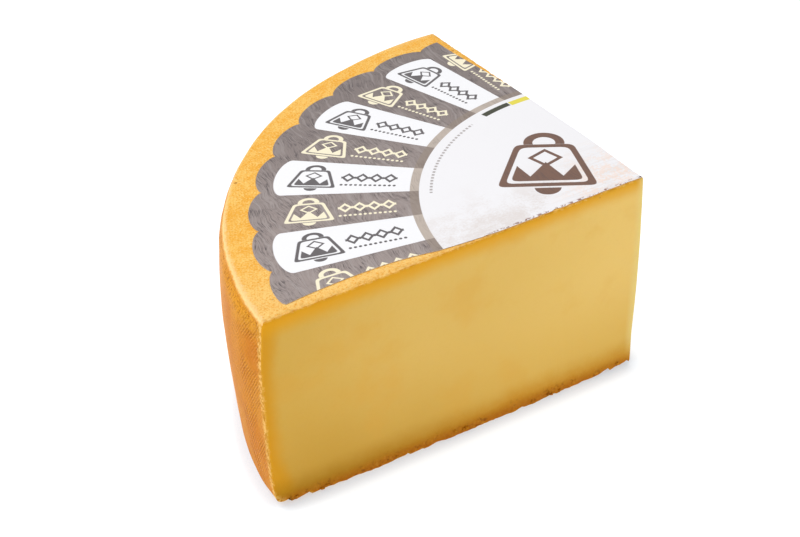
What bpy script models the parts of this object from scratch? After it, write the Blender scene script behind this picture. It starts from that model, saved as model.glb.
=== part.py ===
# Raclette quarter wheel: a wedge left by two cuts at right angles through a round wheel of cheese,
# lying on its flat underside, with a thin paper label that has a scalloped outer edge on its top.
# Metres, +Z up. The first cut faces -Y, the second faces +X, and the rind curves round the far side.
import math

import bmesh
import bpy
from mathutils import Vector, noise

# The whole wheel that the wedge was cut from
WHEEL_RADIUS = 0.1505       # at the fullest point of the side
CENTRE_HEIGHT = 0.082       # thickness at the middle of the wheel
TOP_SLOPE = 0.029           # the top falls by this much for each metre out from the middle
SHOULDER_INSET = 0.0013     # how far the side draws in at the top shoulder
FOOT_INSET = 0.0022         # how far the side draws in at the foot
BULGE_HEIGHT = 0.045        # height of the fullest point
SHOULDER_HEIGHT = 0.073     # height of the top shoulder
TOP_ROUND = 0.0022          # radius of the rounded top edge
FOOT_ROUND_WIDTH = 0.0070   # how far in the rounded foot reaches
FOOT_ROUND_HEIGHT = 0.0050
RIND_UNEVEN = 0.0005        # how far the rind wanders in and out
RIND_WAVE = 0.034           # length of that wandering
RIND_DRAW = 0.0018          # the rind draws in by this much at the cuts, less towards the foot
RIND_DRAW_WIDTH = 0.018     # and from this far away

# The two cuts, measured from the wheel's axis
FIRST_CUT = 0.0049          # the first cut passes this far behind the axis
SECOND_CUT = 0.0010         # the second cut passes this far beyond it
CUT_UNEVEN = 0.00025        # shallow waves left by the knife
CUT_WAVE = 0.030
EDGE_LIFT = 0.0014          # the underside curls up this much at the ends of the first cut
EDGE_CURL = 0.011           # width of the curled border
EDGE_NICK = 0.0006          # small waves along the first cut's lower edge
EDGE_NICK_WAVE = 0.0075
CORNER_ROUND = 0.0007       # softening of the upright edge between the cuts

# The paper label
LABEL_GAP = 0.00035         # between the cheese and the paper
LABEL_THICKNESS = 0.00045
LABEL_MARGIN = 0.0004       # between the paper and the cut edges
PANEL_COUNT = 34            # printed panels round the full label, one scallop to each
SCALLOP_VALLEY = 0.1360     # radius where two scallops meet
SCALLOP_RISE = 0.0026       # how far a scallop swells past that radius
FIRST_VALLEY = 94.7         # direction of the valley nearest the second cut, in degrees
FRONT_STRIP = 0.0041        # strip of bare rind along the first cut
FRONT_STRIP_START = 0.057   # distances from the axis between which that strip widens
FRONT_STRIP_FULL = 0.100
FRONT_BOW = 0.0018          # how much wider the strip is where its edge bows in
FRONT_BOW_PLACE = 0.112     # distance of that bow from the axis
FRONT_BOW_REACH = 0.030
BACK_STRIP = 0.0030         # widest strip of bare rind along the second cut
BACK_STRIP_START = 0.080
BACK_STRIP_FULL = 0.138
STRIP_BLEND = 30            # degrees over which the label's rays bend to follow a strip
TIP_ROUND = 0.0030          # rounding of the label's tip beside the first cut
TIP_WIDTH = 2.4             # degrees over which the tip rounds off

# Fineness of the meshes
COLUMNS = 54                # round the corner, from the first cut to the second
RINGS = 12                  # from the corner out to the rind
TOP_ROUND_STEPS = 4
SIDE_STEPS = 11
FOOT_ROUND_STEPS = 4
SCALLOP_STEPS = 6
LABEL_RINGS = 5


def smooth_step(low, high, value):
    share = min(1.0, max(0.0, (value - low) / (high - low)))
    return share * share * (3.0 - 2.0 * share)


def top_height(x, y):
    return CENTRE_HEIGHT - TOP_SLOPE * math.hypot(x, y)


def side_inset(z):
    if z > BULGE_HEIGHT:
        return SHOULDER_INSET * ((z - BULGE_HEIGHT) / (SHOULDER_HEIGHT - BULGE_HEIGHT)) ** 2
    return FOOT_INSET * ((BULGE_HEIGHT - z) / BULGE_HEIGHT) ** 2


# The outline of the rind in section, from the start of the rounded top edge down to the underside,
# as pairs of radius and height measured from the wheel's axis and the table.
def rind_profile():
    rim_height = CENTRE_HEIGHT - TOP_SLOPE * (WHEEL_RADIUS - TOP_ROUND)
    shoulder = rim_height - TOP_ROUND
    shoulder_radius = WHEEL_RADIUS - side_inset(shoulder)
    profile = []
    for step in range(TOP_ROUND_STEPS):
        turn = math.pi / 2 * step / TOP_ROUND_STEPS
        inset = TOP_ROUND * (1 - math.sin(turn))
        profile.append((shoulder_radius - inset, shoulder + TOP_ROUND * math.cos(turn)))
    for step in range(SIDE_STEPS + 1):
        z = shoulder + (FOOT_ROUND_HEIGHT - shoulder) * step / SIDE_STEPS
        profile.append((WHEEL_RADIUS - side_inset(z), z))
    foot_radius = WHEEL_RADIUS - side_inset(FOOT_ROUND_HEIGHT)
    for step in range(1, FOOT_ROUND_STEPS + 1):
        turn = math.pi / 2 * step / FOOT_ROUND_STEPS
        inset = FOOT_ROUND_WIDTH * (1 - math.cos(turn))
        profile.append((foot_radius - inset, FOOT_ROUND_HEIGHT * (1 - math.sin(turn))))
    return profile


# Distance from a corner to a circle round the wheel's axis, along a level direction.
def reach(corner, direction, radius):
    along = corner.dot(direction)
    return -along + math.sqrt(radius ** 2 - corner.length_squared + along ** 2)


# How far the rind stands out from its true circle at a point of it.
def rind_wander(point):
    to_cut = min(point.y - FIRST_CUT, SECOND_CUT - point.x)
    draw = RIND_DRAW * (1.0 - smooth_step(0.0, RIND_DRAW_WIDTH, to_cut))
    draw *= 0.3 + 0.7 * point.z / CENTRE_HEIGHT
    return RIND_UNEVEN * noise.noise(point / RIND_WAVE) - draw


# The underside is flat except along the first cut, where its border curls up towards both ends
# and carries what lies just above it along.
def underside_lift(x, y, z):
    share = (SECOND_CUT - x) / WHEEL_RADIUS
    curl = EDGE_LIFT * abs(2.0 * share - 1.0) ** 2.5
    curl += EDGE_NICK * abs(noise.noise(Vector((x / EDGE_NICK_WAVE, 0.0, 0.0))))
    across = 1.0 - smooth_step(0.0, EDGE_CURL, y - FIRST_CUT)
    return curl * across * (1.0 - smooth_step(0.0, EDGE_CURL, z))


# One point of the wedge: how far round the corner, how far out from it, and which level of the profile.
def wedge_point(column, ring, level, profile):
    corner = Vector((SECOND_CUT, FIRST_CUT))
    angle = math.pi - math.pi / 2 * column / COLUMNS
    direction = Vector((math.cos(angle), math.sin(angle)))
    radius, z = profile[level]
    outer = corner + direction * reach(corner, direction, radius)
    wander = rind_wander(Vector((outer.x, outer.y, z)))
    outer += outer.normalized() * wander
    flat = corner.lerp(outer, ring / RINGS)
    rim_height = profile[0][1]
    height = z
    if ring < RINGS:
        height = top_height(flat.x, flat.y) * z / rim_height
    height += underside_lift(flat.x, flat.y, height)
    point = Vector((flat.x, flat.y, height))
    inside = 0 < ring < RINGS and 0 < level < len(profile) - 1
    if column == 0 and inside:
        point.y += CUT_UNEVEN * noise.noise(point / CUT_WAVE)
    if column == COLUMNS and inside:
        point.x += CUT_UNEVEN * noise.noise(point / CUT_WAVE)
    if ring == 0:
        point += Vector((-CORNER_ROUND, CORNER_ROUND, 0.0)) / 2
    return point


def add_quad(mesh, corners):
    unique = []
    for vertex in corners:
        if vertex not in unique:
            unique.append(vertex)
    if len(unique) > 2:
        mesh.faces.new(unique)


def finish_object(name, mesh, offset, material):
    bmesh.ops.recalc_face_normals(mesh, faces=mesh.faces)
    bmesh.ops.triangulate(mesh, faces=mesh.faces, quad_method="BEAUTY", ngon_method="BEAUTY")
    bmesh.ops.translate(mesh, verts=mesh.verts, vec=offset)
    data = bpy.data.meshes.new(name)
    mesh.to_mesh(data)
    mesh.free()
    data.shade_smooth()
    data.set_sharp_from_angle(angle=math.radians(40))
    data.materials.append(material)
    part = bpy.data.objects.new(name, data)
    bpy.context.scene.collection.objects.link(part)


def make_material(name, color, roughness):
    material = bpy.data.materials.new(name)
    material.use_nodes = True
    shader = material.node_tree.nodes["Principled BSDF"]
    shader.inputs["Base Color"].default_value = (*color, 1.0)
    shader.inputs["Roughness"].default_value = roughness
    shader.inputs["Metallic"].default_value = 0.0
    return material


# The wedge is one closed skin: top, rind and underside sweep round the corner, and the two cut faces
# close the ends. All columns meet in the upright line between the cuts.
def build_cheese():
    mesh = bmesh.new()
    profile = rind_profile()
    last = len(profile) - 1
    corner_line = [mesh.verts.new(wedge_point(0, 0, level, profile)) for level in range(last + 1)]
    made = {}

    def vertex(column, ring, level):
        if ring == 0:
            return corner_line[level]
        key = (column, ring, level)
        if key not in made:
            made[key] = mesh.verts.new(wedge_point(column, ring, level, profile))
        return made[key]

    for column in range(COLUMNS):
        for ring in range(RINGS):
            for level in (0, last):
                add_quad(mesh, [vertex(column, ring, level), vertex(column, ring + 1, level),
                                vertex(column + 1, ring + 1, level), vertex(column + 1, ring, level)])
        for level in range(last):
            add_quad(mesh, [vertex(column, RINGS, level), vertex(column + 1, RINGS, level),
                            vertex(column + 1, RINGS, level + 1), vertex(column, RINGS, level + 1)])
    for column in (0, COLUMNS):
        for ring in range(RINGS):
            for level in range(last):
                add_quad(mesh, [vertex(column, ring, level), vertex(column, ring + 1, level),
                                vertex(column, ring + 1, level + 1), vertex(column, ring, level + 1)])
    return mesh


# Directions from the wheel's axis in which the scalloped edge starts and ends, at the bare strips.
def label_ends():
    start = math.pi / 2 - math.asin((SECOND_CUT - LABEL_MARGIN - BACK_STRIP) / SCALLOP_VALLEY)
    end = math.pi - math.asin((FIRST_CUT + LABEL_MARGIN + FRONT_STRIP) / SCALLOP_VALLEY)
    return start, end


# Distance from the wheel's axis to the label's outer edge.
def scallop_radius(angle):
    pitch = 2 * math.pi / PANEL_COUNT
    turn = (angle - math.radians(FIRST_VALLEY)) / pitch
    across = 2.0 * (turn - math.floor(turn)) - 1.0
    to_tip = max(0.0, 1.0 - (label_ends()[1] - angle) / math.radians(TIP_WIDTH))
    tip = TIP_ROUND * (1.0 - math.sqrt(1.0 - min(1.0, to_tip) ** 2))
    return SCALLOP_VALLEY + SCALLOP_RISE * math.sqrt(1.0 - across * across) - tip


# A point of the label on the ray from its corner to the scalloped edge at this angle. The rays near
# a cut bend, so that the bare strip beside it widens only where it should.
def label_point(angle, share):
    start, end = label_ends()
    corner = Vector((SECOND_CUT - LABEL_MARGIN, FIRST_CUT + LABEL_MARGIN))
    outer = Vector((math.cos(angle), math.sin(angle))) * scallop_radius(angle)
    point = corner.lerp(outer, share)
    blend = math.radians(STRIP_BLEND)
    near_first = 1.0 - smooth_step(0.0, blend, end - angle)
    near_second = 1.0 - smooth_step(0.0, blend, angle - start)
    first_widen = smooth_step(FRONT_STRIP_START, FRONT_STRIP_FULL, -point.x) - share
    second_widen = smooth_step(BACK_STRIP_START, BACK_STRIP_FULL, point.y) - share
    bow = max(0.0, 1.0 - ((-point.x - FRONT_BOW_PLACE) / FRONT_BOW_REACH) ** 2)
    point.y += near_first * (FRONT_STRIP * first_widen + FRONT_BOW * bow)
    point.x -= BACK_STRIP * near_second * second_widen
    return point


def label_angles():
    start, end = label_ends()
    step = 2 * math.pi / PANEL_COUNT / SCALLOP_STEPS
    first = math.radians(FIRST_VALLEY)
    low = math.ceil((start - first) / step + 0.3)
    high = math.floor((end - math.radians(TIP_WIDTH) - first) / step)
    angles = [start] + [first + step * count for count in range(low, high + 1)]
    for share in (1.0, 0.6, 0.35, 0.15, 0.0):
        angles.append(end - math.radians(TIP_WIDTH) * share)
    return angles


def build_label():
    mesh = bmesh.new()
    angles = label_angles()
    layers = []
    for lift in (LABEL_GAP, LABEL_GAP + LABEL_THICKNESS):
        corner = label_point(angles[0], 0.0)
        centre = mesh.verts.new((corner.x, corner.y, top_height(*corner) + lift))
        rows = []
        for angle in angles:
            row = [centre]
            for ring in range(1, LABEL_RINGS + 1):
                flat = label_point(angle, ring / LABEL_RINGS)
                row.append(mesh.verts.new((flat.x, flat.y, top_height(*flat) + lift)))
            rows.append(row)
        layers.append(rows)
    lower, upper = layers
    for index in range(len(angles) - 1):
        for ring in range(LABEL_RINGS):
            for rows in (lower, upper):
                add_quad(mesh, [rows[index][ring], rows[index][ring + 1],
                                rows[index + 1][ring + 1], rows[index + 1][ring]])
        add_quad(mesh, [lower[index][-1], lower[index + 1][-1], upper[index + 1][-1], upper[index][-1]])
    for index in (0, len(angles) - 1):
        for ring in range(LABEL_RINGS):
            add_quad(mesh, [lower[index][ring], lower[index][ring + 1],
                            upper[index][ring + 1], upper[index][ring]])
    return mesh


# The shift that puts the origin on the table, under the middle of the wedge's box.
def centring_shift(mesh):
    xs = [vertex.co.x for vertex in mesh.verts]
    ys = [vertex.co.y for vertex in mesh.verts]
    return Vector((-(min(xs) + max(xs)) / 2, -(min(ys) + max(ys)) / 2, 0.0))


for leftover in list(bpy.data.objects):
    bpy.data.objects.remove(leftover, do_unlink=True)
cheese = build_cheese()
label = build_label()
shift = centring_shift(cheese)
finish_object("cheese", cheese, shift, make_material("rind and paste", (0.76, 0.46, 0.11), 0.5))
finish_object("label", label, shift, make_material("printed paper", (0.42, 0.39, 0.37), 0.55))
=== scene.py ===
import math

import bpy
from mathutils import Matrix, Vector, noise


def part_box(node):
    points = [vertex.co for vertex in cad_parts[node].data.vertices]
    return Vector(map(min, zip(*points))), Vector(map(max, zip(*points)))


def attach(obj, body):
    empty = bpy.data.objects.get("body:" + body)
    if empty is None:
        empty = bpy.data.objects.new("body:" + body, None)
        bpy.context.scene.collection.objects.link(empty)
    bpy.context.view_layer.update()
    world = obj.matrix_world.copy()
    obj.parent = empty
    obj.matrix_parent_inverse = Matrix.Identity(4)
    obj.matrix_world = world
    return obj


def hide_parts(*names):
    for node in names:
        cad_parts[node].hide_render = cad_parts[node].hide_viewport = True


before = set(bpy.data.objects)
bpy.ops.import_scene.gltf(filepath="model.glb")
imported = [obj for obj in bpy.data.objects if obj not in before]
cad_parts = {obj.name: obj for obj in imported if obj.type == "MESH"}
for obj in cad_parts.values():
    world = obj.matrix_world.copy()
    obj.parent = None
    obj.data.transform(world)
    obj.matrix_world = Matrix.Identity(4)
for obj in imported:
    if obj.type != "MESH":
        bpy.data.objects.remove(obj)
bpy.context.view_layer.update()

# The wheel that the quarter was cut from
wheel = {
    "radius": 0.1505,           # at the fullest point of the side
    "centreHeight": 0.082,
    "topSlope": 0.029,          # the top falls by this much for each metre out
    "topRound": 0.0006,         # rounding between top and side
    "shoulderHeight": 0.0725,
    "shoulderInset": 0.0013,    # the side draws in by this much at the shoulder
    "rimInset": 0.0018,         # and by this much more from there up to the rim
    "bulgeHeight": 0.045,
    "footInset": 0.0022,
    "footRoundWidth": 0.0045,
    "footRoundHeight": 0.0036,
    "firstCut": 0.0049,         # the cut facing -Y passes this far behind the middle of the wheel
    "secondCut": 0.0010,        # the cut facing +X passes this far beyond it
    "cutSwell": 0.00014,        # how far the uneven cut faces stand proud of their planes
    "cornerDraw": 0.0012,       # the upright edge between the cuts draws in by this much at top and foot
    "cornerDrawReach": 0.040,
}

lowCorner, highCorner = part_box("cheese")
wheelAxis = Vector((highCorner.x - wheel["secondCut"] - wheel["cutSwell"],
                    lowCorner.y - wheel["firstCut"] + wheel["cutSwell"], 0.0))


def smoothStep(low, high, value):
    share = min(1.0, max(0.0, (value - low) / (high - low)))
    return share * share * (3.0 - 2.0 * share)


# A colour as seen on a screen, 0 to 255, turned into the linear numbers that shaders take
def paint(red, green, blue):
    linear = []
    for part in (red, green, blue):
        share = part / 255.0
        linear.append(share / 12.92 if share <= 0.04045 else ((share + 0.055) / 1.055) ** 2.4)
    return (*linear, 1.0)


# A socket that takes part in sums: each operator adds a Math node to the tree that the socket is in
class Value:
    def __init__(self, maker, socket):
        self.maker = maker
        self.socket = socket

    def __add__(self, other):
        return self.maker.maths("ADD", self, other)

    def __radd__(self, other):
        return self.maker.maths("ADD", other, self)

    def __sub__(self, other):
        return self.maker.maths("SUBTRACT", self, other)

    def __rsub__(self, other):
        return self.maker.maths("SUBTRACT", other, self)

    def __mul__(self, other):
        return self.maker.maths("MULTIPLY", self, other)

    def __rmul__(self, other):
        return self.maker.maths("MULTIPLY", other, self)

    def __truediv__(self, other):
        return self.maker.maths("DIVIDE", self, other)

    def __rtruediv__(self, other):
        return self.maker.maths("DIVIDE", other, self)

    def __neg__(self):
        return self.maker.maths("MULTIPLY", self, -1.0)

    def __abs__(self):
        return self.maker.maths("ABSOLUTE", self)


class NodeMaker:
    def __init__(self, tree):
        self.tree = tree
        tree.nodes.clear()

    # Settings come first, because some of them change the sockets
    def node(self, kind, settings=None, sockets=None):
        made = self.tree.nodes.new(kind)
        for name, value in (settings or {}).items():
            setattr(made, name, value)
        for key, value in (sockets or {}).items():
            self.plug(made.inputs[key], value)
        return made

    def plug(self, socket, value):
        if isinstance(value, Value):
            value = value.socket
        if isinstance(value, bpy.types.NodeSocket):
            self.tree.links.new(value, socket)
        else:
            socket.default_value = value

    def value(self, kind, output, settings=None, sockets=None):
        return Value(self, self.node(kind, settings, sockets).outputs[output])

    def maths(self, operation, *values):
        return self.value("ShaderNodeMath", 0, {"operation": operation}, dict(enumerate(values)))

    def root(self, value):
        return self.maths("SQRT", value)

    def sine(self, value):
        return self.maths("SINE", value)

    def cosine(self, value):
        return self.maths("COSINE", value)

    def floor(self, value):
        return self.maths("FLOOR", value)

    def least(self, first, second):
        return self.maths("MINIMUM", first, second)

    def most(self, first, second):
        return self.maths("MAXIMUM", first, second)

    def clamp(self, value, low=0.0, high=1.0):
        return self.value("ShaderNodeClamp", 0, None, {"Value": value, "Min": low, "Max": high})

    # 0 below low, 1 above high, smooth in between
    def ease(self, value, low, high):
        sockets = {"Value": value, "From Min": low, "From Max": high}
        return self.value("ShaderNodeMapRange", 0, {"interpolation_type": "SMOOTHSTEP"}, sockets)

    # 1 where a distance is negative, with a soft border
    def within(self, distance, softness=0.1):
        return self.value("ShaderNodeMapRange", 0, None, {
            "Value": distance, "From Min": -softness, "From Max": softness, "To Min": 1.0, "To Max": 0.0})

    def between(self, value, low, high, softness=0.1):
        middle = (low + high) / 2
        return self.within(abs(value - middle) - (high - low) / 2, softness)

    def vector(self, x, y, z=0.0):
        return self.value("ShaderNodeCombineXYZ", 0, None, {0: x, 1: y, 2: z})

    def stretch(self, vector, factors):
        return self.value("ShaderNodeVectorMath", 0, {"operation": "MULTIPLY"}, {0: vector, 1: factors})

    def split(self, vector):
        parts = self.node("ShaderNodeSeparateXYZ", None, {0: vector})
        return [Value(self, socket) for socket in parts.outputs]

    def noise(self, vector, scale, detail=2.0, roughness=0.5, distortion=0.0):
        sockets = {"Vector": vector, "Scale": scale, "Detail": detail, "Roughness": roughness,
                   "Distortion": distortion}
        return self.value("ShaderNodeTexNoise", 0, None, sockets)

    def mixColour(self, share, first, second, blend="MIX"):
        settings = {"data_type": "RGBA", "blend_type": blend}
        return self.value("ShaderNodeMix", 2, settings, {0: share, 6: first, 7: second})

    # Coats laid over a ground colour in turn, each a pair of share and colour
    def layers(self, ground, *coats):
        for share, colour in coats:
            ground = self.mixColour(share, ground, colour)
        return ground

    # Small round spots scattered at random, only in the cells whose own number is over the rareness
    def specks(self, vector, scale, size, rareness):
        cells = self.node("ShaderNodeTexVoronoi", None, {"Vector": vector, "Scale": scale})
        number = self.split(cells.outputs["Color"])[0]
        spot = 1.0 - self.ease(Value(self, cells.outputs["Distance"]), size * 0.5, size)
        return spot * self.within(rareness - number, 0.01)

    # Place in millimetres from the middle of the wheel, as x, y, z and the whole vector
    def wheelPlace(self):
        place = self.value("ShaderNodeMapping", 0, None, {
            "Vector": self.node("ShaderNodeTexCoord").outputs["Object"],
            "Location": wheelAxis * -1000.0, "Scale": (1000.0, 1000.0, 1000.0)})
        return (*self.split(place), place)

    def bump(self, height, distance, strength=1.0):
        sockets = {"Strength": strength, "Distance": distance, "Height": height}
        return self.value("ShaderNodeBump", 0, None, sockets)

    def finish(self, sockets):
        shader = self.node("ShaderNodeBsdfPrincipled", None, sockets)
        self.node("ShaderNodeOutputMaterial", None, {"Surface": shader.outputs[0]})


def newMaterial(name):
    material = bpy.data.materials.new(name)
    material.use_nodes = True
    return material, NodeMaker(material.node_tree)


def showPiece(piece):
    if piece.name not in bpy.context.scene.collection.objects:
        bpy.context.scene.collection.objects.link(piece)
    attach(piece, "root")


# Distance down from the top surface, in millimetres
def depthBelowTop(radius, z):
    return wheel["centreHeight"] * 1000 - radius * wheel["topSlope"] - z


# Colours and grain of the rind
rindLook = {
    "topPale": paint(255, 204, 106),
    "topDeep": paint(249, 181, 68),
    "topDot": paint(242, 164, 50),
    "topLight": paint(255, 218, 144),
    "sideTan": paint(213, 138, 39),
    "sideDeep": paint(203, 120, 22),
    "sideFar": paint(226, 162, 96),
    "underShoulder": paint(221, 153, 40),
    "groove": paint(170, 96, 12),
    "thread": paint(234, 164, 62),
    # rim: a pale band along the rounded top edge, partly worn paler rind and partly a painted highlight
    "rim": paint(253, 214, 152),
    "cutPale": paint(244, 192, 104),
    "cutDark": paint(208, 144, 42),
    "speck": paint(176, 104, 28),
    "rimDepth": 0.4,            # how far below the top the pale rim lies, in millimetres
    "threadSpacing": 1.03,      # cloth imprint on the side, in millimetres
    "threadSlant": 56,          # its threads rise towards the first cut, in degrees
    "topWeave": 0.8,            # cloth imprint on the top, in millimetres
    "roughness": 0.58,
}


def makeRindMaterial():
    material, maker = newMaterial("rind")
    x, y, z, place = maker.wheelPlace()
    radius = maker.root(x * x + y * y)
    around = maker.maths("ARCTAN2", y, x) * (wheel["radius"] * 1000)
    depth = depthBelowTop(radius, z)
    toCut = maker.least(y - wheel["firstCut"] * 1000, wheel["secondCut"] * 1000 - x)
    onSide = maker.ease(depth, 0.6, 2.0)

    broad = maker.noise(place, 0.045, 3.0, 0.55)
    middling = maker.noise(place, 0.22, 3.0, 0.6)
    grain = maker.noise(place, 1.35, 3.0, 0.7)
    pebbles = maker.noise(place, 0.8, 2.0, 0.5)

    nearFirst = 1.0 - maker.ease(y - wheel["firstCut"] * 1000, 5.0, 38.0)
    top = maker.layers(
        rindLook["topPale"],
        (maker.ease(middling * 0.7 + broad * 0.3, 0.36, 0.66), rindLook["topDeep"]),
        (nearFirst * 0.45, rindLook["topLight"]),
        ((1.0 - maker.ease(grain, 0.36, 0.5)) * 0.85, rindLook["topDot"]),
        (maker.ease(grain, 0.52, 0.64) * 0.6, rindLook["topLight"]))

    # Cloth imprint: slanting threads on the side, in patches and strongest by the cuts, and a finer
    # square weave on the top
    slant = math.radians(rindLook["threadSlant"])
    pitch = 2 * math.pi / rindLook["threadSpacing"]
    waviness = middling * 6.0
    acrossThread = around * math.sin(slant) - z * math.cos(slant)
    alongThread = around * math.cos(slant) + z * math.sin(slant)
    threads = maker.sine(acrossThread * pitch + waviness)
    crossing = maker.sine(alongThread * pitch * 0.45 + waviness)
    patches = maker.ease(maker.noise(place, 0.11, 2.0, 0.5), 0.36, 0.58)
    worn = maker.ease(maker.noise(place, 0.32, 2.0, 0.6), 0.34, 0.62)
    byCut = 1.0 - maker.ease(toCut, 8.0, 30.0)
    imprint = maker.clamp((patches * (0.4 + byCut * 0.6) + 0.15) * (0.25 + worn * 0.85))
    sideCloth = (threads * 0.8 + threads * crossing * 0.4) * imprint
    weave = 2 * math.pi / rindLook["topWeave"]
    topCloth = maker.sine((x + y * 0.35) * weave + waviness) * maker.sine((y - x * 0.35) * weave + waviness)
    cloth = maker.value("ShaderNodeMix", 0, None, {0: onSide, 2: topCloth * 0.3, 3: sideCloth})

    # The side: tan, golden just under the rim and paler far from the cuts, with inked threads, pits and small
    # pale painted glints
    drift = maker.noise(maker.vector(around, z * 0.4, 0.0), 0.07, 3.0, 0.6)
    awayFromCut = maker.ease(toCut, 20.0, 50.0)
    underShoulder = maker.ease(depth, 1.2, 2.6) * (1.0 - maker.ease(depth + middling * 8.0, 7.0, 16.0))
    inked = sideCloth * (1.0 - underShoulder * 0.8)
    fine = maker.noise(place, 1.7, 2.0, 0.6)
    pitting = 1.0 - maker.ease(fine * 0.6 + pebbles * 0.4, 0.36, 0.5)
    side = maker.layers(
        rindLook["sideTan"],
        (maker.ease(drift, 0.38, 0.62), rindLook["sideDeep"]),
        (awayFromCut * 0.65, rindLook["sideFar"]),
        (underShoulder * (1.0 - awayFromCut * 0.55) * 0.85, rindLook["underShoulder"]),
        (maker.clamp(inked * -0.65), rindLook["groove"]),
        (maker.clamp(inked * 0.6), rindLook["thread"]),
        (pitting * (0.4 + underShoulder * 0.55), rindLook["groove"]),
        # painted glints: small pale specks, strongest just under the shoulder
        (maker.ease(fine, 0.56, 0.68) * (0.2 + underShoulder * 0.4), rindLook["thread"]))

    # The pale rim along the rounded top edge: partly worn paler rind, partly a painted highlight, broken up a
    # little and painted fainter towards the back
    rimHighlightBand = 1.0 - maker.ease(abs(depth - rindLook["rimDepth"] + (pebbles - 0.5) * 1.6), 0.4, 1.0)
    nearCut = 1.0 - maker.ease(toCut, 0.0, 60.0)
    outer = maker.ease(radius + nearCut * 1.1 + (pebbles - 0.5) * 3.0 + (grain - 0.5) * 2.0, 145.6, 147.2)
    rimHighlightFade = 0.75 - maker.ease(y, 60.0, 120.0) * 0.45

    # Brown specks and the pale torn line where the rind meets a cut
    spots = maker.specks(place, 0.16, 0.13, 0.72)
    cutLine = 1.0 - maker.ease(toCut + (pebbles - 0.5) * 5.0, 0.9, 3.0)
    torn = maker.mixColour(maker.ease(maker.noise(place, 0.75, 2.0, 0.6), 0.44, 0.54),
                           rindLook["cutDark"], rindLook["cutPale"])
    colour = maker.layers(
        top,
        (onSide, side),
        (rimHighlightBand * outer * rimHighlightFade, rindLook["rim"]),
        (spots * 0.7, rindLook["speck"]),
        (cutLine * (0.35 + onSide * 0.6), torn))

    height = pebbles * 0.7 + grain * 0.6 + cloth * 0.5 + broad * 0.4 - spots * 0.3
    roughness = maker.clamp(rindLook["roughness"] + (grain - 0.5) * 0.25, 0.3, 0.85)
    maker.finish({
        "Base Color": colour, "Roughness": roughness, "IOR": 1.4, "Specular IOR Level": 0.08,
        "Normal": maker.bump(height, 0.0004, 0.8)})
    return material


# Colours of the cut faces
pasteLook = {
    "middle": paint(222, 182, 95),
    "left": paint(210, 166, 73),
    "right": paint(232, 194, 109),
    "lowLeft": paint(197, 150, 53),
    "lowRight": paint(220, 177, 84),
    "patch": paint(218, 162, 62),
    "nearRind": paint(211, 147, 12),
    "nearTop": paint(224, 158, 18),
    "nearFootLeft": paint(164, 114, 0),
    "nearFootRight": paint(198, 134, 8),
    "atFoot": paint(176, 98, 4),
    "footFleck": paint(206, 140, 40),
    "footNotch": paint(112, 58, 0),
    "skin": paint(240, 188, 98),
    "skinDark": paint(220, 157, 54),
    "crust": paint(236, 196, 112),
    # painted light where light shines through the thin corner between the cuts
    "cornerPaintedLight": paint(228, 203, 126),
    "pit": paint(150, 100, 30),
    "roughness": 0.55,
}


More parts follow.
